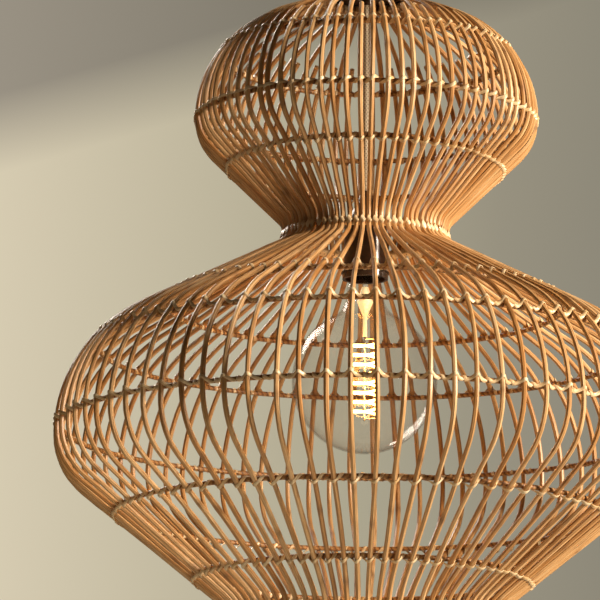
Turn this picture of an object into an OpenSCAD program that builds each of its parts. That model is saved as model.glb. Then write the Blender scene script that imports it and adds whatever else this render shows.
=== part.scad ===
// Hourglass rattan pendant light: round canes bent over hoops and lashed to them,
// hung on a cord from a ceiling rose, with a lamp-holder and a globe bulb inside.
// Millimetres. +Z is up and z = 0 is the ceiling; everything hangs below it.

/* [Shade outline] */
// Distance from the ceiling down to the top of the shade's neck
cord_drop = 150; // [120:5:600]
// Neck diameter, across the middle of the canes
neck_d = 84; // [76:1:104]
// Widest diameter of the upper lobe, across the middle of the canes
upper_d = 295; // [240:5:360]
// Waist diameter, across the middle of the canes
waist_d = 140; // [136:1:170]
// Widest diameter of the lower lobe, across the middle of the canes
lower_d = 528; // [430:2:640]
// Diameter of the open mouth, across the middle of the canes
mouth_d = 212; // [170:2:256]
// Height from the neck's top down to the upper lobe's widest place
neck_to_upper = 120; // [105:1:150]
// Height from the upper lobe's widest place down to the waist
upper_to_waist = 99; // [84:1:125]
// Height from the waist down to the lower lobe's widest place
waist_to_lower = 181; // [150:1:220]
// Height from the lower lobe's widest place down to the mouth
lower_to_mouth = 177; // [147:1:214]

/* [Bends of a cane] */
// Radius where the neck turns out into the upper lobe
neck_bend = 20; // [16:1:24]
// Radius over the top of the upper lobe
upper_top_bend = 95; // [76:1:100]
// Radius under the upper lobe
upper_under_bend = 38; // [30:1:46]
// Radius into and out of the waist
waist_bend = 17; // [14:1:21]
// Radius over the shoulder of the lower lobe
lower_top_bend = 117; // [94:1:126]
// Radius under the lower lobe
lower_under_bend = 56; // [45:1:68]
// Radius where the canes straighten towards the mouth
mouth_bend = 50; // [40:1:60]

/* [Canes and hoops] */
// Number of canes around the shade; every second one stops below the neck
cane_count = 80; // [56:8:80]
// Thickness of a cane
cane_w = 4.2; // [3.4:0.1:5]
// Thickness of a hoop
hoop_d = 5; // [4:0.2:6]
// Thickness of the stouter hoop that carries the neck plate
neck_hoop_d = 8; // [7:0.2:9]
// Thickness of the split cane that binds a hoop
binding_t = 0.8; // [0.6:0.1:1]
// Where a short cane starts, as a share of the height from neck to upper lobe
short_start = 0.36; // [0.3:0.02:0.42]

/* [Lamp-holder and bulb] */
// Depth of the lamp-holder's rim below the top of the neck
holder_depth = 260; // [220:5:280]
// Outer diameter of the lamp-holder's shell
holder_d = 37; // [36:0.5:44]
// Height of the lamp-holder's straight shell
holder_h = 50; // [44:1:60]
// Diameter of the globe bulb
globe_d = 125; // [95:5:150]
// Distance from the lamp-holder's rim down to the globe's centre
globe_drop = 89.5; // [80:0.5:110]
// Thickness of the bulb's glass
glass_t = 1; // [0.8:0.1:1.4]
// Diameter of the spiral filament
filament_d = 21; // [16:1:24]
// Height of the spiral filament
filament_h = 72; // [50:1:80]
// Turns in the spiral filament
filament_turns = 8; // [5:1:9]

/* [Ceiling rose and cord] */
// Outer diameter of the ceiling rose
rose_d = 100; // [90:1:130]
// Height of the ceiling rose
rose_h = 40; // [36:1:50]
// Wall thickness of the ceiling rose
rose_t = 1.5; // [1:0.1:2.5]
// Distance between the two ceiling screws
screw_spacing = 60; // [56:1:64]
// Diameter of a ceiling screw hole
screw_hole_d = 4.5; // [4:0.1:5]
// Cord diameter
cord_d = 6; // [5:0.2:6.6]

/* [Hidden] */

fine = 96;       // facets of a preview circle
slack = 0.05;    // radial clearance of a screw in its hole
lash_gap = 0.5;  // clearance between a cane and a bound hoop
ring_gap = 0.1;  // clearance between a hoop and its binding
knot_gap = 0.4;  // gap that a knot closes between two stretches of cane
knot_proud = 0.3;
swing = 14;      // half-angle of the flared grips, degrees

// The outline runs down from the neck: [radius, depth] of each place where it is upright,
// then the radii of the two bends between each place and the next.
TURNS = [
  [neck_d / 2, 0],
  [upper_d / 2, neck_to_upper],
  [waist_d / 2, neck_to_upper + upper_to_waist],
  [lower_d / 2, neck_to_upper + upper_to_waist + waist_to_lower],
  [mouth_d / 2, neck_to_upper + upper_to_waist + waist_to_lower + lower_to_mouth],
];
BENDS = [
  [neck_bend, upper_top_bend],
  [upper_under_bend, waist_bend],
  [waist_bend, lower_top_bend],
  [lower_under_bend, mouth_bend],
];
spans = len(BENDS);

// A hoop: its span of the outline, its share of that span's height, and its thickness.
HOOPS = [
  ["neck", 0, 0.06, neck_hoop_d],
  ["upper_shoulder", 0, 0.48, hoop_d],
  ["upper_lobe", 0, 0.98, hoop_d],
  ["upper_tuck", 1, 0.46, hoop_d],
  ["waist", 2, 0.02, hoop_d],
  ["lower_flare", 2, 0.35, hoop_d],
  ["lower_shoulder", 2, 0.56, hoop_d],
  ["lower_lobe", 2, 0.97, hoop_d],
  ["lower_tuck", 3, 0.4, hoop_d],
  ["lower_base", 3, 0.69, hoop_d],
  ["mouth", 3, 0.98, hoop_d],
];

// Each span is a bend, a straight and a bend. Points are [radius, height over the neck's top].
function top(i) = [TURNS[i][0], -TURNS[i][1]];
function side(i) = sign(TURNS[i + 1][0] - TURNS[i][0]);
function centre_a(i) = top(i) + [side(i) * BENDS[i][0], 0];
function centre_b(i) = top(i + 1) - [side(i) * BENDS[i][1], 0];
function lean(i) =
  let (d = centre_b(i) - centre_a(i))
  atan2(side(i) * d[0], -d[1]) + asin((BENDS[i][0] + BENDS[i][1]) / norm(d));
function end_a(i) = centre_a(i) - BENDS[i][0] * [side(i) * cos(lean(i)), sin(lean(i))];
function end_b(i) = centre_b(i) + BENDS[i][1] * [side(i) * cos(lean(i)), sin(lean(i))];

// Slope of the outline away from upright, and its radius, at a height within a span.
function slope(i, z) =
  z >= end_a(i)[1] ? asin((top(i)[1] - z) / BENDS[i][0])
  : z <= end_b(i)[1] ? asin((z - top(i + 1)[1]) / BENDS[i][1])
  : lean(i);
function radius(i, z) =
  z >= end_a(i)[1] ? centre_a(i)[0] - BENDS[i][0] * side(i) * cos(slope(i, z))
  : z <= end_b(i)[1] ? centre_b(i)[0] + BENDS[i][1] * side(i) * cos(slope(i, z))
  : end_a(i)[0] + side(i) * (end_a(i)[1] - z) * tan(lean(i));
function share_z(i, share) = top(i)[1] + share * (top(i + 1)[1] - top(i)[1]);

// A hoop lies inside the canes, square to them.
function hoop_row(name) = HOOPS[search([name], HOOPS)[0]];
function hoop_inset(d) = cane_w / 2 + lash_gap + binding_t + ring_gap + d / 2;
function hoop_place(name) =
  let (h = hoop_row(name), z = share_z(h[1], h[2]), a = slope(h[1], z))
  [radius(h[1], z), z] - hoop_inset(h[3]) * [cos(a), side(h[1]) * sin(a)];

neck_z = -cord_drop;
half_turn = 180;
degrees_of_arc = 180 / PI;

// --- Canes -----------------------------------------------------------------

// A stretch of cane bent about centre c, standing in the XZ plane.
module bent_cane(c, r, from, to) {
  trim = knot_gap / 2 / r * degrees_of_arc;
  translate([c[0], 0, c[1]])
    rotate([90, 0, 0])
      rotate_extrude(angle = to - from - 2 * trim, start = from + trim, $fn = fine)
        translate([r, 0])
          square(cane_w, center = true);
}

module straight_cane(a, b) {
  d = b - a;
  middle = (a + b) / 2;
  translate([middle[0], 0, middle[1]])
    rotate([0, atan2(d[0], d[1]), 0])
      cube([cane_w, cane_w, norm(d) - knot_gap], center = true);
}

// The slight swelling at a node of the cane, which joins two stretches.
module knot(p) {
  translate([p[0], 0, p[1]])
    rotate([90, 0, 0])
      cylinder(d = cane_w + 2 * knot_proud, h = cane_w - knot_proud, center = true, $fn = fine);
}

module lower_bend(i, angle) {
  if (side(i) > 0) bent_cane(centre_b(i), BENDS[i][1], 0, angle);
  else bent_cane(centre_b(i), BENDS[i][1], half_turn - angle, half_turn);
}

module upper_bend(i) {
  if (side(i) > 0) bent_cane(centre_a(i), BENDS[i][0], half_turn, half_turn + lean(i));
  else bent_cane(centre_a(i), BENDS[i][0], -lean(i), 0);
}

module cane_span(i) {
  upper_bend(i);
  knot(end_a(i));
  straight_cane(end_a(i), end_b(i));
  knot(end_b(i));
  lower_bend(i, lean(i));
  knot(top(i + 1));
}

module long_cane() {
  for (i = [0 : spans - 1]) cane_span(i);
}

// Starts at a share of the first span, in its straight or in its lower bend.
module short_cane() {
  z = share_z(0, short_start);
  start = [radius(0, z), z];
  knot(start);
  if (z > end_b(0)[1]) {
    straight_cane(start, end_b(0));
    knot(end_b(0));
  }
  lower_bend(0, slope(0, z));
  knot(top(1));
  for (i = [1 : spans - 1]) cane_span(i);
}

// One quarter of the canes of one length. Turned so that a gap faces front.
module cane_quarter(quarter, offset) {
  step = 360 / cane_count;
  color("burlywood")
    translate([0, 0, neck_z])
      for (k = [0 : 2 : cane_count / 4 - 2])
        rotate([0, 0, 270 + (quarter * cane_count / 4 + k + offset + 0.5) * step])
          children();
}

module long_canes(quarter) { cane_quarter(quarter, 0) long_cane(); }
module short_canes(quarter) { cane_quarter(quarter, 1) short_cane(); }

// --- Hoops and their bindings ------------------------------------------------

module ring(place, d) {
  translate([0, 0, neck_z + place[1]])
    rotate_extrude($fn = fine)
      translate([place[0], 0])
        circle(d = d, $fn = fine / 2);
}

module hoop(name) {
  color("peru") ring(hoop_place(name), hoop_row(name)[3]);
}

module binding(name) {
  inner = hoop_row(name)[3] + 2 * ring_gap;
  color("wheat")
    translate([0, 0, neck_z + hoop_place(name)[1]])
      rotate_extrude($fn = fine)
        translate([hoop_place(name)[0], 0])
          difference() {
            circle(d = inner + 2 * binding_t, $fn = fine / 2);
            circle(d = inner, $fn = fine / 2);
          }
}

// --- Neck plate: hangs the shade from the cord ---------------------------------

plate_t = 2;
plate_lift = binding_t + 2 * ring_gap;
plate_bottom = neck_z + hoop_place("neck")[1] + neck_hoop_d / 2 + plate_lift;
plate_top = plate_bottom + plate_t;
plate_r = neck_d / 2 - cane_w / 2 - lash_gap;
plate_screws = 3;
plate_screw_r = 1.25;
plate_screw_l = 6;
plate_head_r = 2.6;
plate_head_h = 1.6;
grip_thread_r = 5;
grip_bore_r = cord_d / 2 + 0.3;
neck_grip_r = 9;
neck_grip_h = 24;
grip_hidden = 12;
nut_r = 9;
nut_h = 4;

module at_plate_screws() {
  for (k = [0 : plate_screws - 1])
    rotate([0, 0, 30 + k * 360 / plate_screws])
      translate([hoop_place("neck")[0], 0, 0])
        children();
}

module neck_plate() {
  color("dimgray")
    translate([0, 0, plate_bottom])
      difference() {
        cylinder(r = plate_r, h = plate_t, $fn = fine);
        translate([0, 0, -1]) cylinder(r = grip_thread_r + slack, h = plate_t + 2, $fn = fine);
        at_plate_screws()
          translate([0, 0, -1]) cylinder(r = plate_screw_r + slack, h = plate_t + 2, $fn = fine);
      }
}

module neck_plate_screws() {
  color("silver")
    at_plate_screws()
      translate([0, 0, plate_top]) {
        cylinder(r = plate_head_r, h = plate_head_h, $fn = fine / 2);
        translate([0, 0, -plate_screw_l]) cylinder(r = plate_screw_r, h = plate_screw_l, $fn = fine / 2);
      }
}

// The neck hoop and its binding are drilled for the plate's screws.
module drilled() {
  difference() {
    children();
    at_plate_screws()
      translate([0, 0, plate_top - plate_screw_l - 0.5])
        cylinder(r = plate_screw_r + slack, h = plate_screw_l + 1, $fn = fine / 2);
  }
}

// A cord grip standing on z = 0: threaded below, its mouth flared above for the cord's swing.
// The cord turns about a point at pivot_h.
pivot_h = 14;
module cord_grip(r, h) {
  flare_h = h - pivot_h;
  difference() {
    union() {
      cylinder(r = r, h = h - 2, $fn = fine);
      translate([0, 0, h - 2]) cylinder(r1 = r, r2 = r - 1.5, h = 2, $fn = fine);
      translate([0, 0, -grip_hidden]) cylinder(r = grip_thread_r, h = grip_hidden + 1, $fn = fine);
    }
    translate([0, 0, -grip_hidden - 1]) cylinder(r = grip_bore_r, h = h + grip_hidden, $fn = fine);
    translate([0, 0, pivot_h - 1])
      cylinder(r1 = grip_bore_r, r2 = grip_bore_r + (flare_h + 2) * tan(swing), h = flare_h + 2, $fn = fine);
  }
}

module grip_nut() {
  difference() {
    cylinder(r = nut_r, h = nut_h, $fn = 6);
    translate([0, 0, -1]) cylinder(r = grip_thread_r + slack, h = nut_h + 2, $fn = fine);
  }
}

module neck_grip() {
  color("dimgray") translate([0, 0, plate_top]) cord_grip(neck_grip_r, neck_grip_h);
}

module neck_grip_nut() {
  color("silver") translate([0, 0, plate_bottom - nut_h]) grip_nut();
}

// --- Ceiling rose --------------------------------------------------------------

bar_l = rose_d - 16;
bar_w = 20;
bar_t = 3;
lug_h = 12;
wire_hole_r = 4;
wire_hole_x = 18;
lug_screw_z = -bar_t - lug_h / 2;
lug_screw_r = 1.6;
lug_screw_l = 14;
lug_head_r = 3.5;
lug_head_h = 2.5;
rose_corner = 14;
block = [30, 18, 12];
block_top = -bar_t;
tube_pitch = 9;
tube_r = 2.4;
tube_bore_r = 1.4;
tube_l = 16;
contact_screw_r = 1.1;
ceiling_grip_r = 9;
ceiling_grip_h = 22;

module mount_bar() {
  color("silver")
    difference() {
      union() {
        translate([-bar_l / 2, -bar_w / 2, -bar_t]) cube([bar_l, bar_w, bar_t]);
        for (s = [0, 1])
          mirror([s, 0, 0])
            translate([bar_l / 2 - bar_t, -bar_w / 2, -bar_t - lug_h]) cube([bar_t, bar_w, lug_h + 1]);
      }
      for (s = [-1, 1])
        translate([s * screw_spacing / 2, 0, -bar_t - 1]) cylinder(d = screw_hole_d, h = bar_t + 2, $fn = fine);
      translate([wire_hole_x, 0, -bar_t - 1]) cylinder(r = wire_hole_r, h = bar_t + 2, $fn = fine);
      translate([-bar_l / 2 - 1, 0, lug_screw_z])
        rotate([0, 90, 0])
          cylinder(r = lug_screw_r + slack, h = bar_l + 2, $fn = fine);
    }
}

// A cup with a rounded lower edge, open towards the ceiling.
module cup(r, h, corner) {
  union() {
    cylinder(r = r - corner, h = corner + 1, $fn = fine);
    translate([0, 0, corner]) cylinder(r = r, h = h - corner, $fn = fine);
    rotate_extrude($fn = fine)
      intersection() {
        translate([r - corner, corner]) circle(r = corner, $fn = fine);
        translate([r - corner - 1, 0]) square([corner + 1, corner + 1]);
      }
  }
}

module ceiling_rose() {
  color("ivory")
    difference() {
      translate([0, 0, -rose_h]) cup(rose_d / 2, rose_h, rose_corner);
      translate([0, 0, -rose_h + rose_t]) cup(rose_d / 2 - rose_t, rose_h, rose_corner - rose_t);
      translate([0, 0, -rose_h - 1]) cylinder(r = grip_thread_r + slack, h = rose_t + 2, $fn = fine);
      translate([-rose_d, 0, lug_screw_z])
        rotate([0, 90, 0])
          cylinder(r = lug_screw_r + slack, h = 2 * rose_d, $fn = fine);
    }
}

module rose_screws() {
  color("silver")
    for (s = [0, 1])
      mirror([s, 0, 0])
        translate([rose_d / 2, 0, lug_screw_z])
          rotate([0, -90, 0]) {
            cylinder(r = lug_screw_r, h = lug_screw_l, $fn = fine / 2);
            translate([0, 0, -lug_head_h]) cylinder(r = lug_head_r, h = lug_head_h, $fn = fine / 2);
          }
}

module ceiling_grip() {
  color("dimgray")
    translate([0, 0, -rose_h])
      mirror([0, 0, 1])
        cord_grip(ceiling_grip_r, ceiling_grip_h);
}

module ceiling_grip_nut() {
  color("silver") translate([0, 0, -rose_h + rose_t]) grip_nut();
}

module at_tubes() {
  for (k = [-1 : 1])
    translate([k * tube_pitch, 0, block_top - block[2] / 2])
      children();
}

module terminal_block() {
  color("whitesmoke")
    difference() {
      translate([-block[0] / 2, -block[1] / 2, block_top - block[2]]) cube(block);
      at_tubes() {
        rotate([90, 0, 0]) cylinder(r = tube_r + slack, h = block[1] + 2, center = true, $fn = fine);
        translate([0, 0, -block[2]]) cylinder(r = contact_screw_r + slack, h = block[2], $fn = fine / 2);
      }
    }
}

module terminal_tubes() {
  color("goldenrod")
    at_tubes()
      difference() {
        rotate([90, 0, 0]) cylinder(r = tube_r, h = tube_l, center = true, $fn = fine);
        rotate([90, 0, 0]) cylinder(r = tube_bore_r, h = tube_l + 2, center = true, $fn = fine);
        translate([0, 0, -block[2]]) cylinder(r = contact_screw_r + slack, h = block[2], $fn = fine / 2);
      }
}

module terminal_screws() {
  screw_l = block[2] / 2 - slack - 1;
  color("silver")
    at_tubes()
      translate([0, 0, -block[2] / 2 + 1])
        cylinder(r = contact_screw_r, h = screw_l, $fn = fine / 2);
}

// --- Cord: taut and straight on the axis, one length in three stretches ----------

joint_gap = 0.3;
pivot_top = -rose_h - pivot_h;
pivot_low = plate_top + pivot_h;
holder_rim = neck_z - holder_depth;
cord_end = holder_rim + holder_h + 8;

module cord_stretch(from, to) {
  color("cornsilk")
    translate([0, 0, to])
      cylinder(d = cord_d, h = from - to, $fn = fine / 2);
}

module cord_tail() {
  cord_stretch(block_top - block[2], pivot_top + cord_d / 2 + joint_gap);
}

// Rounded at both ends, where it turns in the two grips.
module cord_upper() {
  cord_stretch(pivot_top, pivot_low);
  color("cornsilk") {
    translate([0, 0, pivot_top]) sphere(d = cord_d, $fn = fine / 2);
    translate([0, 0, pivot_low]) sphere(d = cord_d, $fn = fine / 2);
  }
}

module cord_lower() {
  cord_stretch(pivot_low - cord_d / 2 - joint_gap, cord_end);
}

// --- Lamp-holder ------------------------------------------------------------------

holder_t = 1.5;
cap_h = 18;
cap_top_r = 7;
relief_h = 10;
ring_h = 6;
ring_t = 1.2;
shell_r = 13.5;
shell_t = 0.5;
shell_h = 25;
insulator_z = 30;
insulator_h = 11;
wire_r = 1;
wire_x = 1.6;
contact_r = 3;

module tube(r, t, h) {
  difference() {
    cylinder(r = r, h = h, $fn = fine);
    translate([0, 0, -1]) cylinder(r = r - t, h = h + 2, $fn = fine);
  }
}

module holder_shell() {
  color("#2b2320") translate([0, 0, holder_rim]) tube(holder_d / 2, holder_t, holder_h);
}

// The domed top screws on to the shell and ends in the cord's strain relief.
module holder_cap() {
  r = holder_d / 2;
  color("#2b2320")
    translate([0, 0, holder_rim + holder_h])
      difference() {
        union() {
          cylinder(r1 = r, r2 = cap_top_r, h = cap_h, $fn = fine);
          translate([0, 0, cap_h]) cylinder(r1 = cap_top_r, r2 = cord_d / 2 + 1.5, h = relief_h, $fn = fine);
        }
        translate([0, 0, -1]) cylinder(r = cord_d / 2 + slack, h = cap_h + relief_h + 2, $fn = fine);
        translate([0, 0, -holder_t])
          cylinder(r1 = r - holder_t / 2, r2 = cap_top_r - holder_t, h = cap_h, $fn = fine);
      }
}

module holder_ring() {
  color("#3a302b")
    translate([0, 0, holder_rim]) {
      tube(holder_d / 2 + ring_t + slack, ring_t, ring_h);
      translate([0, 0, ring_h - 1]) tube(holder_d / 2 + 2 * ring_t, 2 * ring_t - slack, 1);
    }
}

module holder_insulator() {
  color("ivory")
    translate([0, 0, holder_rim + insulator_z])
      difference() {
        cylinder(r = holder_d / 2 - holder_t - slack, h = insulator_h, $fn = fine);
        for (s = [-1, 1])
          translate([s * wire_x, 0, insulator_h / 2]) cylinder(r = wire_r + slack, h = insulator_h, $fn = fine / 2);
      }
}

module screw_shell() {
  color("goldenrod")
    translate([0, 0, holder_rim + insulator_z - shell_h]) tube(shell_r + shell_t, shell_t, shell_h);
}

module centre_contact() {
  color("goldenrod")
    translate([0, 0, holder_rim + insulator_z - contact_h]) cylinder(r = contact_r, h = contact_h, $fn = fine);
}

module holder_wires() {
  bottom = holder_rim + insulator_z + insulator_h / 2;
  for (s = [-1, 1])
    color(s < 0 ? "saddlebrown" : "steelblue")
      translate([s * wire_x, 0, bottom]) cylinder(r = wire_r, h = cord_end - bottom, $fn = fine / 2);
}

// --- Bulb -------------------------------------------------------------------------

cap_r = 13.1;
cap_t = 0.4;
cap_z = 2;
cap_len = 21;
tip_h = 2;
skirt_h = 2.5;
contact_h = insulator_z - cap_z - cap_len - skirt_h - tip_h - joint_gap;
globe_r = globe_d / 2;
glass_neck_r = 16;
glass_root_r = cap_r - cap_t - slack;
glass_fillet = 22;
glass_lap = 0.03;
neck_step = 8;
neck_sink = 3;
stem_r = 1.8;
stem_flare_r = 7;
stem_flare_h = 13;
stem_top = 20;
stem_len = 30;
lead_r = 0.7;
filament_r = 0.9;
filament_top = -(stem_top + stem_len);
arm_drop = 2;
coil_drop = 4;
coil_h = filament_h - coil_drop - arm_drop;
filament_steps = 14;
filament_sides = 6;

// The glass filled in, inset by t: globe, fillet and neck, with z = 0 at the holder's rim.
// Neighbouring curves cross by glass_lap, so that each joins the next cleanly.
module glass_fill(t, root_len) {
  fillet_x = glass_neck_r + glass_fillet;
  fillet_z = sqrt(pow(globe_r + glass_fillet - glass_lap, 2) - pow(fillet_x, 2)) - globe_drop;
  fillet_foot = -globe_drop + globe_r / 2;
  neck_r = glass_neck_r - t + glass_lap;
  translate([0, 0, -globe_drop]) sphere(r = globe_r - t, $fn = fine);
  rotate_extrude($fn = fine)
    difference() {
      polygon([[0, fillet_foot], [0, fillet_z], [fillet_x, fillet_z], [glass_neck_r, fillet_foot]]);
      translate([fillet_x, fillet_z]) circle(r = glass_fillet + t, $fn = fine);
    }
  translate([0, 0, -neck_step])
    mirror([0, 0, 1])
      cylinder(r = neck_r, h = neck_sink - neck_step - fillet_z, $fn = fine);
  translate([0, 0, -neck_step]) cylinder(r1 = neck_r, r2 = glass_root_r - t, h = neck_step, $fn = fine);
  cylinder(r = glass_root_r - t, h = root_len, $fn = fine);
}

module bulb_glass() {
  color("lightcyan", 0.35)
    translate([0, 0, holder_rim])
      difference() {
        glass_fill(0, cap_len / 2);
        glass_fill(glass_t, cap_len);
      }
}

module bulb_cap() {
  color("gainsboro") translate([0, 0, holder_rim + cap_z]) tube(cap_r, cap_t, cap_len);
}

module bulb_insulator() {
  color("#20201e")
    translate([0, 0, holder_rim + cap_z + cap_len]) cylinder(r1 = cap_r, r2 = 5, h = skirt_h, $fn = fine);
}

module bulb_tip() {
  color("silver")
    translate([0, 0, holder_rim + cap_z + cap_len + skirt_h]) cylinder(r1 = 4.5, r2 = 3, h = tip_h, $fn = fine);
}

module bulb_stem() {
  color("lightcyan")
    translate([0, 0, holder_rim - stem_top]) {
      translate([0, 0, -stem_flare_h]) cylinder(r1 = stem_r, r2 = stem_flare_r, h = stem_flare_h, $fn = fine);
      cylinder(r1 = stem_flare_r, r2 = stem_r + 1, h = stem_flare_h, $fn = fine);
      translate([0, 0, -stem_len]) cylinder(r = stem_r, h = stem_len, $fn = fine);
    }
}

// A rod down the middle of the spiral, with an arm to each of its ends.
module bulb_leads() {
  reach = filament_d / 2 - filament_r;
  color("silver")
    translate([0, 0, holder_rim + filament_top]) {
      translate([0, 0, -filament_h - arm_drop]) cylinder(r = lead_r, h = filament_h + arm_drop, $fn = fine / 2);
      for (z = [-arm_drop, -filament_h])
        translate([0, 0, z]) rotate([0, 90, 0]) cylinder(r = lead_r, h = reach, $fn = fine / 2);
    }
}

// The spiral is swept ring by ring; its ends stand just off the arms of the leads.
function coil_point(k, j) =
  let (
    a = k * 360 / filament_steps,
    b = j * 360 / filament_sides,
    out = filament_d / 2 + filament_r * cos(b),
    fall = coil_h * k / (filament_turns * filament_steps)
  )
  [out * cos(a), out * sin(a), -coil_drop - fall + filament_r * sin(b)];

module bulb_filament() {
  rings = filament_turns * filament_steps;
  points = [for (k = [0 : rings], j = [0 : filament_sides - 1]) coil_point(k, j)];
  walls = [
    for (k = [0 : rings - 1], j = [0 : filament_sides - 1])
      let (next = (j + 1) % filament_sides, a = k * filament_sides, b = a + filament_sides)
        each [[a + j, b + j, a + next], [a + next, b + j, b + next]]
  ];
  start = [[for (j = [0 : filament_sides - 1]) j]];
  finish = [[for (j = [filament_sides - 1 : -1 : 0]) rings * filament_sides + j]];
  color("gold")
    translate([0, 0, holder_rim + filament_top])
      polyhedron(points = points, faces = concat(walls, start, finish), convexity = 10);
}

mount_bar();
ceiling_rose();
rose_screws();
ceiling_grip();
ceiling_grip_nut();
terminal_block();
terminal_tubes();
terminal_screws();
cord_tail();
cord_upper();
cord_lower();
neck_plate();
neck_plate_screws();
neck_grip();
neck_grip_nut();
long_canes(0);  // long_canes_1
long_canes(1);  // long_canes_2
long_canes(2);  // long_canes_3
long_canes(3);  // long_canes_4
short_canes(0);  // short_canes_1
short_canes(1);  // short_canes_2
short_canes(2);  // short_canes_3
short_canes(3);  // short_canes_4
drilled() hoop("neck");  // neck_hoop
hoop("upper_shoulder");  // upper_shoulder_hoop
hoop("upper_lobe");  // upper_lobe_hoop
hoop("upper_tuck");  // upper_tuck_hoop
hoop("waist");  // waist_hoop
hoop("lower_flare");  // lower_flare_hoop
hoop("lower_shoulder");  // lower_shoulder_hoop
hoop("lower_lobe");  // lower_lobe_hoop
hoop("lower_tuck");  // lower_tuck_hoop
hoop("lower_base");  // lower_base_hoop
hoop("mouth");  // mouth_hoop
drilled() binding("neck");  // neck_binding
binding("upper_shoulder");  // upper_shoulder_binding
binding("upper_lobe");  // upper_lobe_binding
binding("upper_tuck");  // upper_tuck_binding
binding("waist");  // waist_binding
binding("lower_flare");  // lower_flare_binding
binding("lower_shoulder");  // lower_shoulder_binding
binding("lower_lobe");  // lower_lobe_binding
binding("lower_tuck");  // lower_tuck_binding
binding("lower_base");  // lower_base_binding
binding("mouth");  // mouth_binding
holder_shell();
holder_cap();
holder_ring();
holder_insulator();
screw_shell();
centre_contact();
holder_wires();
bulb_glass();
bulb_cap();
bulb_insulator();
bulb_tip();
bulb_stem();
bulb_leads();
bulb_filament();
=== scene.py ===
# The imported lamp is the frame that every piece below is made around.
import bpy
import bmesh
import math
import random
from mathutils import Matrix, Vector


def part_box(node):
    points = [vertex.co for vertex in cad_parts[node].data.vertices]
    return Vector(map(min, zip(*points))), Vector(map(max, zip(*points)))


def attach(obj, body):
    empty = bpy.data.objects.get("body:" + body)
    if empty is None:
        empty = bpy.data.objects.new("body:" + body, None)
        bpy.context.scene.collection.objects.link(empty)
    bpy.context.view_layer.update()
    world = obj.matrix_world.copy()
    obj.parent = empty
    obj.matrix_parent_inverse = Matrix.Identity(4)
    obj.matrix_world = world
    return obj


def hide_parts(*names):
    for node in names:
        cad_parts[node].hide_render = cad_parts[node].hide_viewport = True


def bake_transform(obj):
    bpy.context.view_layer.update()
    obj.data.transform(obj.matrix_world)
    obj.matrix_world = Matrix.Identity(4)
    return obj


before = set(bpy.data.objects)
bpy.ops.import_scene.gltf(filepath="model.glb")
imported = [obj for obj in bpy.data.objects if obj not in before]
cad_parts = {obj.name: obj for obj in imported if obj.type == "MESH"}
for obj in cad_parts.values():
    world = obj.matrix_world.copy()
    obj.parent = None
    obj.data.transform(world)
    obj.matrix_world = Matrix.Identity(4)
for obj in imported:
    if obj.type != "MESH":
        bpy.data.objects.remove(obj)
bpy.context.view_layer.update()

MM = 0.001


# ---- Camera: a long lens below the lamp, looking a little up at it, so that the undersides
# of the hoops show. It frames the shade and leaves the neck's top and the mouth outside.
LENS_MM = 231.7
CAMERA_PLACE = (0.0, -3.262, -1.105)
TURN_LEFT, LOOK_UP, TILT = 0.986, 11.716, 0.583
camera = bpy.data.objects.new("camera", bpy.data.cameras.new("camera"))
bpy.context.scene.collection.objects.link(camera)
camera.data.lens = LENS_MM
camera.data.sensor_width = 36.0
camera.data.clip_end = 50.0
camera.matrix_world = (
    Matrix.Translation(CAMERA_PLACE)
    @ Matrix.Rotation(math.radians(TURN_LEFT), 4, "Z")
    @ Matrix.Rotation(math.radians(90.0 + LOOK_UP), 4, "X")
    @ Matrix.Rotation(math.radians(TILT), 4, "Z")
)
bpy.context.scene.camera = camera


# ---- Pendant cord: round three-core flex in an off-white cotton braid, 6 mm thick. It hangs
# taut from the grip under the ceiling rose, through the neck, to the lamp-holder's cap. It is
# drawn as two lengths that meet between its two bends.
CORD_ACROSS = 6.0 * MM
CORD_SIDES = 24
CORD_STEP = 2 * MM
BRAID_PITCH = 2.2 * MM
BRAID_SLANT = 0.9
# The cord bends where it leaves the ceiling grip and again over the shade's, within this reach.
CORD_PIVOT = -54.0 * MM
SHARP_ANGLE = 40


def linear(hex_colour):
    """An sRGB hex colour as the linear colour that a shader takes."""
    parts = [int(hex_colour[i : i + 2], 16) / 255 for i in (1, 3, 5)]
    return tuple([c / 12.92 if c <= 0.04045 else ((c + 0.055) / 1.055) ** 2.4 for c in parts] + [1.0])


def node(material, kind, links=None, values=None, stops=(), **settings):
    """Adds a shader node: the outputs that lead to its inputs, its inputs' values, a colour ramp's
    stops, each a place and an sRGB hex colour, and its properties."""
    made = material.node_tree.nodes.new(kind)
    for _ in stops[2:]:
        made.color_ramp.elements.new(0.5)
    for k, (place, colour) in enumerate(stops):
        made.color_ramp.elements[k].position = place
        made.color_ramp.elements[k].color = linear(colour)
    for name, value in settings.items():
        setattr(made, name, value)
    for socket, value in (values or {}).items():
        made.inputs[socket].default_value = value
    for socket, output in (links or {}).items():
        material.node_tree.links.new(output, made.inputs[socket])
    return made


def new_material(name, **values):
    """A material whose output shows one shader; values set that shader's own sockets."""
    material = bpy.data.materials.new(name)
    material.use_nodes = True
    material.node_tree.nodes.clear()
    plain = {socket.replace("_", " "): value for socket, value in values.items()}
    shader = node(material, "ShaderNodeBsdfPrincipled", values=plain)
    node(material, "ShaderNodeOutputMaterial", {"Surface": shader.outputs["BSDF"]})
    return material, shader


def paint(material, shader, colour, height=None, strength=0.3, depth=0.3 * MM):
    """Leads a colour, and a bump from height, to the shader."""
    material.node_tree.links.new(colour, shader.inputs["Base Color"])
    if height is not None:
        relief = node(material, "ShaderNodeBump", {"Height": height},
                      {"Strength": strength, "Distance": depth})
        material.node_tree.links.new(relief.outputs["Normal"], shader.inputs["Normal"])


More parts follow.
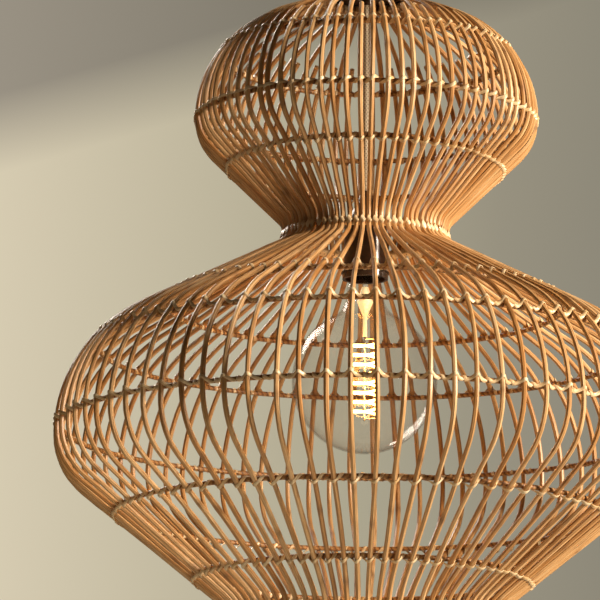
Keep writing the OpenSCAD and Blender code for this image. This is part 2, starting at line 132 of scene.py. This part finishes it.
def finish_piece(name, bm, material, slot, body, *nodes):
    """Writes the mesh, shades it smooth, gives the piece its material and body, and hides its CAD nodes. The
    slot is not used.
    """
    mesh = bpy.data.meshes.new(name)
    bm.to_mesh(mesh)
    bm.free()
    mesh.shade_smooth()
    mesh.set_sharp_from_angle(angle=math.radians(SHARP_ANGLE))
    mesh.materials.append(material)
    piece = bpy.data.objects.new(name, mesh)
    bpy.context.scene.collection.objects.link(piece)
    if nodes:
        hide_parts(*nodes)
    if body:
        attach(piece, body)
    return piece


def sweep(section, places, sizes, closed=False, marks=None):
    """Draws a section, in mm, out into a straight rod with a ring for each place, then sets the
    rings on their places. Every point keeps where it was on the straight rod, for the patterns."""
    bm = bmesh.new()
    straight = bm.verts.layers.float_vector.new("straight")
    knuckle = bm.verts.layers.float.new("knuckle") if marks else None
    last = len(places) - 1
    ring = [bm.verts.new((x, y, 0)) for x, y in section]
    ends = [bm.edges.new((a, b)) for a, b in zip(ring, ring[1:] + ring[:1])]
    drawn = bmesh.ops.extrude_edge_only(bm, edges=ends)["geom"]
    bmesh.ops.translate(bm, vec=(0, 0, last), verts=[g for g in drawn if isinstance(g, bmesh.types.BMVert)])
    sides = [e for e in bm.edges if e.verts[0].co.z != e.verts[1].co.z]
    ends = [e for e in bm.edges if e.verts[0].co.z == e.verts[1].co.z]
    bmesh.ops.subdivide_edges(bm, edges=sides, cuts=last - 1)
    runs = [0.0]
    for a, b in zip(places, places[1:]):
        runs.append(runs[-1] + (b.translation - a.translation).length)
    for vertex in bm.verts:
        k = round(vertex.co.z)
        flat = Vector((vertex.co.x, vertex.co.y, 0)) * MM * sizes[k]
        vertex[straight] = flat + Vector((0, 0, runs[k]))
        vertex.co = places[k] @ flat
        if marks:
            vertex[knuckle] = marks[k]
    if closed:
        bmesh.ops.bridge_loops(bm, edges=ends)
    else:
        bmesh.ops.holes_fill(bm, edges=ends)
    bmesh.ops.recalc_face_normals(bm, faces=bm.faces)
    return bm


def round_section(radius, sides):
    """A round section in mm."""
    around = [math.tau * k / sides for k in range(sides)]
    return [(radius * math.cos(a), radius * math.sin(a)) for a in around]


# Braided cotton is matt and slightly fuzzy, with a fine crossed weave that runs along the cord.
braid, shader = new_material("cotton_braid", Roughness=0.85, Sheen_Weight=0.3)
cord_place = node(braid, "ShaderNodeAttribute", attribute_name="straight").outputs["Vector"]
rows = []
for slant in (BRAID_SLANT, -BRAID_SLANT):
    turned = node(braid, "ShaderNodeMapping", {"Vector": cord_place}, {"Rotation": (0.0, slant, 0.0)})
    rows.append(node(braid, "ShaderNodeTexWave", {"Vector": turned.outputs["Vector"]},
                     {"Scale": math.tau / 20 / BRAID_PITCH}, bands_direction="Z"))
weave = node(braid, "ShaderNodeMath", {0: rows[0].outputs["Fac"], 1: rows[1].outputs["Fac"]},
             operation="MAXIMUM")
threads = node(braid, "ShaderNodeValToRGB", {"Fac": weave.outputs["Value"]},
               stops=((0.2, "#B9A98A"), (0.9, "#E9DDC2")))
paint(braid, shader, threads.outputs["Color"], weave.outputs["Value"], 0.5, 0.4 * MM)

cord_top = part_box("cord_upper")[1][2]
cord_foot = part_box("cord_lower")[0][2]
cord_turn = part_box("cord_upper")[0][2] + CORD_ACROSS / 2
cord_middle = (CORD_PIVOT + cord_turn) / 2
for name, node_name, top, foot, pair, turn in (
    ("pendant_cord_top", "cord_upper", cord_top, cord_middle, ("ceiling", "cord"), CORD_PIVOT),
    ("pendant_cord", "cord_lower", cord_middle, cord_foot, ("cord", "shade"), cord_turn),
):
    steps = round((top - foot) / CORD_STEP)
    route = [Vector((0, 0, top + (foot - top) * k / steps)) for k in range(steps + 1)]
    down = [Matrix.Translation(p) @ Matrix.Rotation(math.pi, 4, "X") for p in route]
    bm = sweep(round_section(CORD_ACROSS / MM / 2, CORD_SIDES), down, [1] * len(route))
    for vertex in bm.verts:
        vertex[bm.verts.layers.float_vector["straight"]] += Vector((0, 0, cord_top - top))
    cord = finish_piece(name, bm, braid, "cord", None, node_name)
    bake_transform(cord)


# ---- Ceiling rose and its fittings: a spun steel cup screwed by its sides to a zinc-plated bar,
# with a terminal block behind it and a cord grip through its middle. All are the frame's own.
def finish_nodes(material, *names):
    """Gives CAD nodes a material."""
    for name in names:
        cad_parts[name].data.materials.clear()
        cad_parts[name].data.materials.append(material)


def mottled(name, dark, light, spot, *nodes, bump=0.0, **values):
    """A material of two close colours in soft spots, each spot mm across, for CAD nodes."""
    material, shader = new_material(name, **values)
    place = node(material, "ShaderNodeTexCoord").outputs["Object"]
    spots = node(material, "ShaderNodeTexNoise", {"Vector": place}, {"Scale": 1 / spot / MM, "Detail": 3.0})
    clouded = node(material, "ShaderNodeValToRGB", {"Fac": spots.outputs["Fac"]},
                   stops=((0.35, dark), (0.65, light)))
    paint(material, shader, clouded.outputs["Color"], spots.outputs["Fac"] if bump else None, bump, 0.1 * MM)
    finish_nodes(material, *nodes)
    return material


# Powder coat on the rose is a fine even orange peel; zinc plate is a bright, faintly clouded metal.
mottled("powder_coated_steel", "#E4DCCB", "#EEE7D8", 1.2, "ceiling_rose", bump=0.25, Roughness=0.5)
mottled("zinc_plated_steel", "#A9ACAF", "#C8CACB", 4.0, "mount_bar", "rose_screws", "ceiling_grip_nut",
        "neck_plate_screws", "neck_grip_nut", "terminal_screws", Metallic=1.0, Roughness=0.32)
mottled("bronzed_steel", "#4A3524", "#604630", 2.5, "neck_plate", "neck_grip", "ceiling_grip",
        bump=0.15, Metallic=0.6, Roughness=0.5)
mottled("moulded_polyamide", "#DAD9D2", "#E8E7E1", 6.0, "terminal_block", Roughness=0.4)
mottled("drawn_brass", "#B08A3C", "#CFAE62", 3.0, "terminal_tubes", "screw_shell", "centre_contact",
        Metallic=1.0, Roughness=0.28)
finish_nodes(braid, "cord_tail")


# ---- Canes: 80 round rattan canes, steam-bent in one plane each. Forty run from neck to mouth
# and every second one stops above the shoulder. They are spaced by hand, so not quite evenly.
# The sizes here and in the next two sections are in mm.
CANE_R = 2.2
CANE_SIDES = 8
CANE_COUNT = 80
NECK_TOP = -150.0
TURN_RADII = (42.0, 147.5, 70.0, 264.0, 106.0)
TURN_DEPTHS = (0.0, 120.0, 219.0, 400.0, 577.0)
BENDS = ((20.0, 95.0), (38.0, 17.0), (17.0, 117.0), (56.0, 50.0))
SHORT_START_DEPTH = 43.0
CANE_STEP = 8.0
BEND_STEP = 0.12
# A cane's girth as a share of the mean, and its nodes: the first, their spacing, width and swelling.
GIRTHS = (0.93, 1.06)
FIRST_NODE = (20, 200)
NODE_SPACING = (130.0, 260.0)
NODE_WIDTH = 4
NODE_SWELL = 0.1
# How far a cane strays from even spacing, as a share of a gap, and in or out of the outline.
UNEVEN = 0.12
IN_AND_OUT = 0.5
chance = random.Random(7)


def outline():
    """The canes' middle line from neck to mouth: (radius, height, slope off upright, side, run) in mm."""
    line = []
    for i, (bend_a, bend_b) in enumerate(BENDS):
        x0, x1 = TURN_RADII[i], TURN_RADII[i + 1]
        z0, z1 = NECK_TOP - TURN_DEPTHS[i], NECK_TOP - TURN_DEPTHS[i + 1]
        side = math.copysign(1, x1 - x0)
        across = side * ((x1 - side * bend_b) - (x0 + side * bend_a))
        lean = math.atan2(across, z0 - z1) + math.asin((bend_a + bend_b) / math.hypot(across, z0 - z1))
        upper = [
            (x0 + side * bend_a * (1 - math.cos(a)), z0 - bend_a * math.sin(a), a, side)
            for a in spaced(0, lean, bend_a * lean, lean)
        ]
        lower = [
            (x1 - side * bend_b * (1 - math.cos(a)), z1 + bend_b * math.sin(a), a, side)
            for a in spaced(lean, 0, bend_b * lean, lean)
        ]
        (xa, za), (xb, zb) = upper[-1][:2], lower[0][:2]
        middle = [
            (xa + (xb - xa) * s, za + (zb - za) * s, lean, side)
            for s in spaced(0, 1, math.dist((xa, za), (xb, zb)))[1:-1]
        ]
        line += (upper if i == 0 else upper[1:]) + middle + lower
    run = 0.0
    for k, place in enumerate(line):
        run += math.dist(line[k - 1][:2], place[:2]) if k else 0.0
        line[k] = (*place, run)
    return line


def spaced(start, end, length, turned=0.0):
    """Values from start to end, one for every step of cane or of its bend."""
    count = max(3, round(length / CANE_STEP), round(turned / BEND_STEP))
    return [start + (end - start) * k / count for k in range(count + 1)]


def wander(reach):
    """A slow, smooth drift along a cane, between plus and minus reach."""
    waves = [(chance.uniform(180, 600), chance.uniform(0, math.tau)) for _ in range(3)]
    return lambda run: reach / 2 * sum(math.sin(math.tau * run / span + phase) for span, phase in waves)


def cane_angle(k, run):
    """The angle round the lamp at which a cane lies, with its drift."""
    return math.tau * (0.75 + (k + 0.5) / CANE_COUNT) + drifts[k](run)


def cane(k, line):
    """One cane's mesh."""
    girth = chance.uniform(*GIRTHS)
    node_at = chance.uniform(*FIRST_NODE)
    places, sizes, marks = [], [], []
    for r, z, slope, side, run in line:
        if run > node_at + CANE_STEP:
            node_at += chance.uniform(*NODE_SPACING)
        out = Vector((math.cos(slope), 0, side * math.sin(slope)))
        way = Vector((side * math.sin(slope), 0, -math.cos(slope)))
        at = Vector((r, 0, z)) + out * rises[k](run)
        near = math.exp(-(((run - node_at) / NODE_WIDTH) ** 2))
        places.append(
            Matrix.Rotation(cane_angle(k, run), 4, "Z")
            @ Matrix.Translation(at * MM)
            @ Matrix((out, way.cross(out), way)).transposed().to_4x4()
        )
        sizes.append(girth * (1 + NODE_SWELL * near + 0.02 * math.sin(run / 37 + k)))
        marks.append(near)
    bm = sweep(round_section(CANE_R, CANE_SIDES), places, sizes, marks=marks)
    straight = bm.verts.layers.float_vector["straight"]
    tone = bm.verts.layers.float.new("tone")
    shade = chance.random()
    offset = Vector((chance.uniform(0, 9), 0, 0))
    for vertex in bm.verts:
        vertex[tone] = shade
        vertex[straight] += offset
    return bm


def cane_set(name, first, line, *nodes):
    """Half of the canes, every second one round the shade, as one piece."""
    whole = bmesh.new()
    for k in range(first, CANE_COUNT, 2):
        one = bpy.data.meshes.new("cane")
        bm = cane(k, line)
        bm.to_mesh(one)
        bm.free()
        whole.from_mesh(one)
    return finish_piece(name, whole, rattan, "cane", "shade", *nodes)


# Peeled rattan is a pale golden wood with a satin skin: fine dark pores run lengthwise, some
# canes are redder, and a ring with a darker edge marks each node. Pores are drawn at 0.7 mm.
PORE_ACROSS = 0.7 * MM
PORE_ALONG = 30 * MM
rattan, shader = new_material("peeled_rattan", Roughness=0.42, Coat_Weight=0.12, Coat_Roughness=0.3)
along = node(rattan, "ShaderNodeAttribute", attribute_name="straight").outputs["Vector"]
fibre_place = node(rattan, "ShaderNodeMapping", {"Vector": along},
                   {"Scale": (1 / PORE_ACROSS, 1 / PORE_ACROSS, 1 / PORE_ALONG)})
fibre = node(rattan, "ShaderNodeTexNoise", {"Vector": fibre_place.outputs["Vector"]},
             {"Scale": 1.0, "Detail": 4.0, "Roughness": 0.6}).outputs["Fac"]
blotch_place = node(rattan, "ShaderNodeMapping", {"Vector": along}, {"Scale": (60, 60, 18)})
blotch = node(rattan, "ShaderNodeTexNoise", {"Vector": blotch_place.outputs["Vector"]},
              {"Scale": 1.0, "Detail": 2.0})
tone = node(rattan, "ShaderNodeAttribute", attribute_name="tone")
both = node(rattan, "ShaderNodeMath", {0: tone.outputs["Fac"], 1: blotch.outputs["Fac"]}, operation="ADD")
share = node(rattan, "ShaderNodeMath", {0: both.outputs["Value"]}, {1: 0.5}, operation="MULTIPLY")
skin = node(rattan, "ShaderNodeValToRGB", {"Fac": share.outputs["Value"]},
            stops=((0.2, "#BF935A"), (0.5, "#D8B684"), (0.8, "#EBD1A6")))
pores = node(rattan, "ShaderNodeValToRGB", {"Fac": fibre},
             stops=((0.30, "#84542C"), (0.46, "#E2C49C"), (0.7, "#FFFFFF")))
grained = node(rattan, "ShaderNodeMix", {6: skin.outputs["Color"], 7: pores.outputs["Color"]}, {0: 0.8},
               data_type="RGBA", blend_type="MULTIPLY")
knuckle = node(rattan, "ShaderNodeAttribute", attribute_name="knuckle")
ring_part = node(rattan, "ShaderNodeMath", {0: knuckle.outputs["Fac"], 1: fibre}, operation="MULTIPLY")
marked = node(rattan, "ShaderNodeMix", {0: ring_part.outputs["Value"], 6: grained.outputs[2]},
              {7: linear("#5E3416")}, data_type="RGBA")
paint(rattan, shader, marked.outputs[2], fibre, 0.4, 0.3 * MM)

drifts = [wander(UNEVEN * math.tau / CANE_COUNT) for _ in range(CANE_COUNT)]
rises = [wander(IN_AND_OUT) for _ in range(CANE_COUNT)]
whole_line = outline()
short_line = [place for place in whole_line if place[1] < NECK_TOP - SHORT_START_DEPTH]
cane_set("long_canes", 0, whole_line, "long_canes_1", "long_canes_2", "long_canes_3", "long_canes_4")
cane_set("short_canes", 1, short_line, "short_canes_1", "short_canes_2", "short_canes_3", "short_canes_4")


# ---- Hoops: eleven rings of stouter cane inside the canes, each wound with split cane that is painted dark as shade.
# They are sprung in from below and hold the outline; the neck's carries the plate.
HOOP_SIDES = 10
HOOP_STEPS = 160
HOOP_R = 2.1
HOOP_SNUG = 0.15
HOOPS = ("neck", "upper_shoulder", "upper_lobe", "upper_tuck", "waist", "lower_flare",
         "lower_shoulder", "lower_lobe", "lower_tuck", "lower_base", "mouth")
WINDING_PITCH = 4.5 * MM
WINDING_SLANT = 0.5

# Split cane whose darkness is painted shade: the turns of the winding show as slanting bands with a dark
# seam.
wound, shader = new_material("shade_darkened_split_cane", Roughness=0.5)
along = node(wound, "ShaderNodeAttribute", attribute_name="straight").outputs["Vector"]
slant = node(wound, "ShaderNodeMapping", {"Vector": along}, {"Rotation": (WINDING_SLANT, 0.0, 0.0)})
turns = node(wound, "ShaderNodeTexWave", {"Vector": slant.outputs["Vector"]},
             {"Scale": math.tau / 20 / WINDING_PITCH, "Distortion": 0.6},
             bands_direction="Z", wave_profile="SAW")
grain = node(wound, "ShaderNodeTexNoise", {"Vector": along}, {"Scale": 900.0, "Detail": 3.0})
# The dark colours of these bands are painted shade, for the shade that falls on the hoops.
bands = node(wound, "ShaderNodeValToRGB", {"Fac": turns.outputs["Fac"]},
             stops=((0.0, "#3A2110"), (0.12, "#9C6C3C"), (0.6, "#C4965C"), (1.0, "#7A5028")))
flecks = node(wound, "ShaderNodeValToRGB", {"Fac": grain.outputs["Fac"]},
              stops=((0.35, "#9A7A58"), (0.6, "#FFFFFF")))
shade_darkened = node(wound, "ShaderNodeMix", {6: bands.outputs["Color"], 7: flecks.outputs["Color"]}, {0: 0.6},
               data_type="RGBA", blend_type="MULTIPLY")
paint(wound, shader, shade_darkened.outputs[2], turns.outputs["Fac"], 0.6, 0.6 * MM)


def ring_size(name):
    """A hoop's radius round the lamp, its height and its own radius in mm, and the outline's place
    beside it. All but the neck's lie close to the canes, held there by the lashing."""
    low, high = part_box(name + "_hoop")
    thick = (high[2] - low[2]) / MM
    middle = high[0] / MM - thick / 2, (high[2] + low[2]) / 2 / MM
    beside = min(whole_line, key=lambda place: math.dist(place[:2], middle))
    if name == "neck":
        return *middle, thick / 2, beside
    r, z, slope, side, _ = beside
    inset = CANE_R + HOOP_R + HOOP_SNUG
    return r - inset * math.cos(slope), z - inset * side * math.sin(slope), HOOP_R, beside


def ring_places(radius, height, count):
    """Matrices round a ring, Z along it and X outwards."""
    face = Matrix.Translation(Vector((radius, 0, height)) * MM) @ Matrix.Rotation(-math.pi / 2, 4, "X")
    return [Matrix.Rotation(math.tau * k / count, 4, "Z") @ face for k in range(count)]


for name in HOOPS:
    radius, height, own, _ = ring_size(name)
    places = ring_places(radius, height, HOOP_STEPS)
    bm = sweep(round_section(own, HOOP_SIDES), places, [1] * HOOP_STEPS, closed=True)
    finish_piece(name + "_ring", bm, wound, "hoop", "shade", name + "_hoop")


# ---- Lashings: one long strip of flat split cane for each hoop. It climbs over a cane, dives
# behind the hoop in the gap and comes up under it for the next cane, all the way round.
STRIP_T = 0.6
STRIP_SECTION = ((-0.5, -0.2), (-0.32, 0.5), (0.32, 0.5), (0.5, -0.2), (0.3, -0.5), (-0.3, -0.5))
SNUG = 0.15
# How far a strip reaches to each side of its cane, how far it climbs across it, and its width.
SLASH = {"half": 5.0, "climb": 1.7, "width": 3.0}
UPRIGHT = {"half": 2.6, "climb": 3.4, "width": 5.2}
# On the flared hoops the strip peaks over each cane and dips to the gap's middle on both sides.
ROOF = {"peak": 2.4, "width": 3.1}
STYLES = {"lower_flare": ROOF, "lower_shoulder": ROOF, "lower_lobe": ROOF, "waist": UPRIGHT}


def strip_turn(style, pitch, hoop_r, inset, rise):
    """One turn of the strip: (along the hoop, outwards, up the cane, how much it lies on the cane)."""
    low = hoop_r + STRIP_T / 2
    top = inset + rise + CANE_R + STRIP_T / 2 + SNUG
    flank = inset + rise + CANE_R * 0.4
    if style is ROOF:
        peak = ROOF["peak"] * chance.uniform(0.7, 1.3)
        return [
            (-0.40 * pitch, low * 0.6, -low * 0.8, 0.0),
            (-0.24 * pitch, low * 1.15, -low * 0.25, 0.1),
            (-2.6, flank, peak * 0.45, 0.7),
            (-1.0, top, peak, 1.0),
            (1.0, top, peak, 1.0),
            (2.6, flank, peak * 0.45, 0.7),
            (0.24 * pitch, low * 1.15, -low * 0.25, 0.1),
            (0.40 * pitch, low * 0.6, -low * 0.8, 0.0),
            (0.46 * pitch, -low, 0.0, 0.0),
            (0.50 * pitch, 0.0, low, 0.0),
            (0.54 * pitch, low, 0.0, 0.0),
        ]
    half = min(style["half"], 0.42 * pitch)
    climb = style["climb"] * chance.uniform(0.7, 1.25)
    lift = chance.uniform(-0.4, 0.4)
    shift = chance.uniform(-0.3, 0.3)
    back = pitch / 2 - half
    side = half * 0.6
    return [
        (-half, low * 0.7, -low * 0.75 - climb * 0.3, 0.2),
        (-side, flank, -climb * 0.85 + lift, 0.85),
        (-side * 0.35 + shift, top, -climb * 0.4 + lift, 1.0),
        (side * 0.35 + shift, top, climb * 0.4 + lift, 1.0),
        (side, flank, climb * 0.85 + lift, 0.85),
        (half, low * 0.7, low * 0.75 + climb * 0.3, 0.2),
        (half + back * 0.45, -low * 0.2, low, 0.0),
        (half + back * 0.95, -low, 0.0, 0.0),
        (half + back * 1.5, 0.0, -low, 0.0),
    ]


def smooth_between(points, steps=2):
    """Points on a smooth closed curve through the given ones."""
    line = []
    for k in range(len(points)):
        a, b, c, d = (points[(k + j) % len(points)] for j in (-1, 0, 1, 2))
        for s in (j / steps for j in range(steps)):
            square, cube = 2 * a - 5 * b + 4 * c - d, 3 * b - a - 3 * c + d
            line.append(0.5 * (2 * b + (c - a) * s + square * s**2 + cube * s**3))
    return line


def lashing(name):
    """The strip of one hoop, swept round the whole ring."""
    radius, height, own, (r, z, slope, side, run) = ring_size(name)
    inset = math.dist((r, z), (radius, height))
    style = STYLES.get(name, SLASH)
    out = Vector((math.cos(slope), 0, side * math.sin(slope)))
    up = Vector((-side * math.sin(slope), 0, math.cos(slope)))
    middle = Vector((radius, 0, height))
    points, normals = [], []
    lashed = range(0, CANE_COUNT, 2 if name == "neck" else 1)
    angles = [cane_angle(k, run) for k in lashed]
    for j, k in enumerate(lashed):
        after = angles[j + 1] if j + 1 < len(angles) else angles[0] + math.tau
        pitch = (after - angles[j]) * radius
        for s, n, t, on_cane in strip_turn(style, pitch, own, inset, rises[k](run)):
            turned = Matrix.Rotation(angles[j] + s / radius, 3, "Z")
            points.append(turned @ (middle + out * n + up * t))
            away = Vector((0, s * on_cane, 0)) + out * (n - inset * on_cane) + up * t * (1 - on_cane)
            normals.append(turned @ away.normalized())
    points, normals = smooth_between(points), smooth_between(normals)
    places = []
    for k, (point, away) in enumerate(zip(points, normals)):
        way = (points[(k + 1) % len(points)] - points[k - 1]).normalized()
        away = (away - way * away.dot(way)).normalized()
        facing = Matrix((away.cross(way), away, way)).transposed().to_4x4()
        places.append(Matrix.Translation(point * MM) @ facing)
    section = [(x * style["width"], y * STRIP_T) for x, y in STRIP_SECTION]
    return sweep(section, places, [1] * len(places), closed=True)


# Split cane keeps its glossy outer skin: paler and creamier than the peeled canes, with fine
# lengthwise lines, drawn 0.5 mm apart, and a few browner stretches.
split, shader = new_material("split_cane_skin", Roughness=0.35, Coat_Weight=0.2, Coat_Roughness=0.2)
along = node(split, "ShaderNodeAttribute", attribute_name="straight").outputs["Vector"]
line_place = node(split, "ShaderNodeMapping", {"Vector": along}, {"Scale": (2000, 2000, 60)})
lines = node(split, "ShaderNodeTexNoise", {"Vector": line_place.outputs["Vector"]},
             {"Scale": 1.0, "Detail": 3.0})
patch = node(split, "ShaderNodeTexNoise", {"Vector": along}, {"Scale": 35.0, "Detail": 1.0})
pale = node(split, "ShaderNodeValToRGB", {"Fac": patch.outputs["Fac"]},
            stops=((0.35, "#DDBB84"), (0.65, "#F6E6C2")))
fine_lines = node(split, "ShaderNodeValToRGB", {"Fac": lines.outputs["Fac"]},
                  stops=((0.32, "#A9743C"), (0.5, "#FFFFFF")))
lined = node(split, "ShaderNodeMix", {6: pale.outputs["Color"], 7: fine_lines.outputs["Color"]}, {0: 0.6},
             data_type="RGBA", blend_type="MULTIPLY")
paint(split, shader, lined.outputs[2], lines.outputs["Fac"], 0.3, 0.2 * MM)

for name in HOOPS:
    finish_piece(name + "_lashing", lashing(name), split, "binding", "shade", name + "_binding")


# ---- Lamp-holder: a shell, domed cap and rim ring of dark moulded phenolic resin, with a white
# steatite block and the cord's two cores inside. All are the frame's own.
mottled("moulded_phenolic", "#24150D", "#3D2416", 5.0, "holder_shell", "holder_cap", "bulb_insulator",
        Roughness=0.28, Coat_Weight=0.3, Coat_Roughness=0.12)
mottled("polished_phenolic", "#2B211B", "#43362C", 5.0, "holder_ring",
        Roughness=0.2, Coat_Weight=0.6, Coat_Roughness=0.08)
mottled("steatite", "#E2D9C6", "#EFE9DA", 3.0, "holder_insulator", bump=0.1, Roughness=0.6)
mottled("pvc_core", "#5A3A22", "#6B472B", 4.0, "holder_wires", Roughness=0.45)


# ---- Bulb: a clear globe on a screw cap. The glass stem holds two leads, and a long flexible
# filament winds down between them, coated in phosphor, so bright that it looks white.
FILAMENT_R = 1.05
FILAMENT_SIDES = 8
FILAMENT_STEPS = 20
FILAMENT_TURNS = 8
COIL_INSET = 0.2
COIL_END_INSET = 0.9
CHIP_PITCH = 3.0 * MM
GLASS_EDGE_POWER = 4.0
mottled("nickel_plated_cap", "#B9B6AE", "#D2CFC8", 4.0, "bulb_cap", "bulb_tip", "bulb_leads",
        Metallic=1.0, Roughness=0.25)

# Thin clear glass shows what is behind it, mirrors faintly face on and strongly at its edge.
glass = bpy.data.materials.new("blown_clear_glass")
glass.use_nodes = True
glass.node_tree.nodes.clear()
facing = node(glass, "ShaderNodeLayerWeight", values={"Blend": 0.5})
edge = node(glass, "ShaderNodeMath", {0: facing.outputs["Facing"]}, {1: GLASS_EDGE_POWER}, operation="POWER")
mirror = node(glass, "ShaderNodeMapRange", {"Value": edge.outputs["Value"]}, {"To Min": 0.025, "To Max": 0.4})
clear = node(glass, "ShaderNodeBsdfTransparent", values={"Color": linear("#FEFDFC")})
gloss = node(glass, "ShaderNodeBsdfGlossy", values={"Roughness": 0.03})
pane = node(glass, "ShaderNodeMixShader",
            {0: mirror.outputs["Result"], 1: clear.outputs["BSDF"], 2: gloss.outputs["BSDF"]})
node(glass, "ShaderNodeOutputMaterial", {"Surface": pane.outputs["Shader"]})
finish_nodes(glass, "bulb_glass")

# The pressed stem is solid lead glass; its brightness is a painted glow that stands in for the filament's
# light from below.
mottled("stem_glass_painted_glow", "#F3E2BC", "#FFF6DE", 2.0, "bulb_stem", Roughness=0.15,
        Emission_Color=linear("#FFDFA0"), Emission_Strength=0.7)

# Phosphor lit from inside: warm white, slightly yellower between its chips.
phosphor, shader = new_material("lit_phosphor", Roughness=0.6, Emission_Strength=26.0)
along = node(phosphor, "ShaderNodeAttribute", attribute_name="straight").outputs["Vector"]
chips = node(phosphor, "ShaderNodeTexWave", {"Vector": along}, {"Scale": math.tau / 20 / CHIP_PITCH},
             bands_direction="Z")
coated = node(phosphor, "ShaderNodeValToRGB", {"Fac": chips.outputs["Fac"]},
              stops=((0.1, "#E8A94C"), (0.7, "#FFD98C")))
paint(phosphor, shader, coated.outputs["Color"])
shader.inputs["Emission Color"].default_value = linear("#FFB45C")

low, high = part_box("bulb_filament")
coil_r = (high[0] - low[0]) / 2 / MM - COIL_INSET
coil_top, coil_foot = high[2] / MM - COIL_END_INSET, low[2] / MM + COIL_END_INSET
places = []
turn_count = FILAMENT_TURNS * FILAMENT_STEPS
for k in range(turn_count + 1):
    fall = (coil_foot - coil_top) / turn_count
    at = Vector((coil_r, 0, coil_top + fall * k))
    way = Vector((0, math.tau * coil_r / FILAMENT_STEPS, fall)).normalized()
    out = Vector((1, 0, 0))
    places.append(
        Matrix.Rotation(math.tau * k / FILAMENT_STEPS, 4, "Z")
        @ Matrix.Translation(at * MM)
        @ Matrix((out, way.cross(out), way)).transposed().to_4x4()
    )
taper = [min(1.0, 0.5 + 0.25 * min(k, turn_count - k)) for k in range(turn_count + 1)]
finish_piece("filament_spiral", sweep(round_section(FILAMENT_R, FILAMENT_SIDES), places, taper),
             phosphor, "filament", "bulb", "bulb_filament")


# ---- Floor and light: a pale painted floor well below, a key from the right, a weak warm fill
# from the left, a soft light behind, and a warm wall all round. None of it belongs to the lamp.
FLOOR_Z = -2.6
FLOOR_HALF = 8.0
bm = bmesh.new()
bmesh.ops.create_grid(bm, x_segments=1, y_segments=1, size=FLOOR_HALF)
bmesh.ops.translate(bm, vec=(0, 0, FLOOR_Z), verts=bm.verts)
floor_mesh = bpy.data.meshes.new("studio_floor")
bm.to_mesh(floor_mesh)
bm.free()
floor = bpy.data.objects.new("studio_floor", floor_mesh)
bpy.context.scene.collection.objects.link(floor)
floor_paint, _ = new_material("pale_floor_paint", Base_Color=linear("#DDD7C8"), Roughness=0.8)
floor_mesh.materials.append(floor_paint)

# The wall colour is what the camera sees; the light that it sheds on the lamp is much weaker. It
# is sunlit and darkens to the right, and a grey shadow with a slanting edge lies across its top.
SHADOW_SLANT, SHADOW_FROM, SHADOW_TO = (-0.3, 0.0, 1.0), 0.262, 0.282
WALL_SEEN, WALL_LIGHT, WALL_MIRRORED = 0.85, 0.05, 0.12
world = bpy.data.worlds.new("studio")
bpy.context.scene.world = world
world.use_nodes = True
wall = world.node_tree.nodes["Background"]
way = node(world, "ShaderNodeTexCoord").outputs["Generated"]
sideways = node(world, "ShaderNodeSeparateXYZ", {0: way})
spread = node(world, "ShaderNodeMapRange", {"Value": sideways.outputs["X"]},
              {"From Min": -0.1, "From Max": 0.08})
sunlit = node(world, "ShaderNodeValToRGB", {"Fac": spread.outputs["Result"]},
              stops=((0.0, "#E8DCC0"), (0.5, "#BDB59B"), (0.75, "#A39C89"), (1.0, "#928D7E")))
upward = node(world, "ShaderNodeVectorMath", {0: way}, {1: SHADOW_SLANT}, operation="DOT_PRODUCT")
cast = node(world, "ShaderNodeMapRange", {"Value": upward.outputs["Value"]},
            {"From Min": SHADOW_FROM, "From Max": SHADOW_TO})
shadow = node(world, "ShaderNodeValToRGB", {"Fac": cast.outputs["Result"]},
              stops=((0.0, "#FFFFFF"), (1.0, "#B7B7BE")))
colour = node(world, "ShaderNodeMix", {6: sunlit.outputs["Color"], 7: shadow.outputs["Color"]}, {0: 1.0},
              data_type="RGBA", blend_type="MULTIPLY")
world.node_tree.links.new(colour.outputs[2], wall.inputs["Color"])
path = node(world, "ShaderNodeLightPath")
seen = node(world, "ShaderNodeMapRange", {"Value": path.outputs["Is Camera Ray"]},
            {"To Min": WALL_LIGHT, "To Max": WALL_SEEN})
mirrored = node(world, "ShaderNodeMath", {0: path.outputs["Is Glossy Ray"]}, {1: WALL_MIRRORED},
                operation="MULTIPLY")
level = node(world, "ShaderNodeMath", {0: seen.outputs["Result"], 1: mirrored.outputs["Value"]},
             operation="ADD")
world.node_tree.links.new(level.outputs["Value"], wall.inputs["Strength"])
bpy.context.scene.view_settings.view_transform = "Standard"
LAMP_MIDDLE = (0, 0, -0.45)


def window_light(name, place, width, height, power, colour):
    """A rectangular area light that faces the middle of the lamp."""
    light = bpy.data.objects.new(name, bpy.data.lights.new(name, "AREA"))
    bpy.context.scene.collection.objects.link(light)
    light.data.shape = "RECTANGLE"
    light.data.size = width
    light.data.size_y = height
    light.data.energy = power
    light.data.color = linear(colour)[:3]
    away = Vector(place) - Vector(LAMP_MIDDLE)
    light.matrix_world = Matrix.Translation(place) @ away.to_track_quat("Z", "Y").to_matrix().to_4x4()


window_light("key", (2.85, -1.3, 0.1), 0.12, 1.4, 225, "#FFEAD2")
window_light("fill", (-2.65, -1.41, 0.0), 0.16, 2.2, 1.0, "#FFC890")
window_light("back", (-1.8, 2.8, 1.8), 1.6, 1.6, 110, "#FFF3E4")
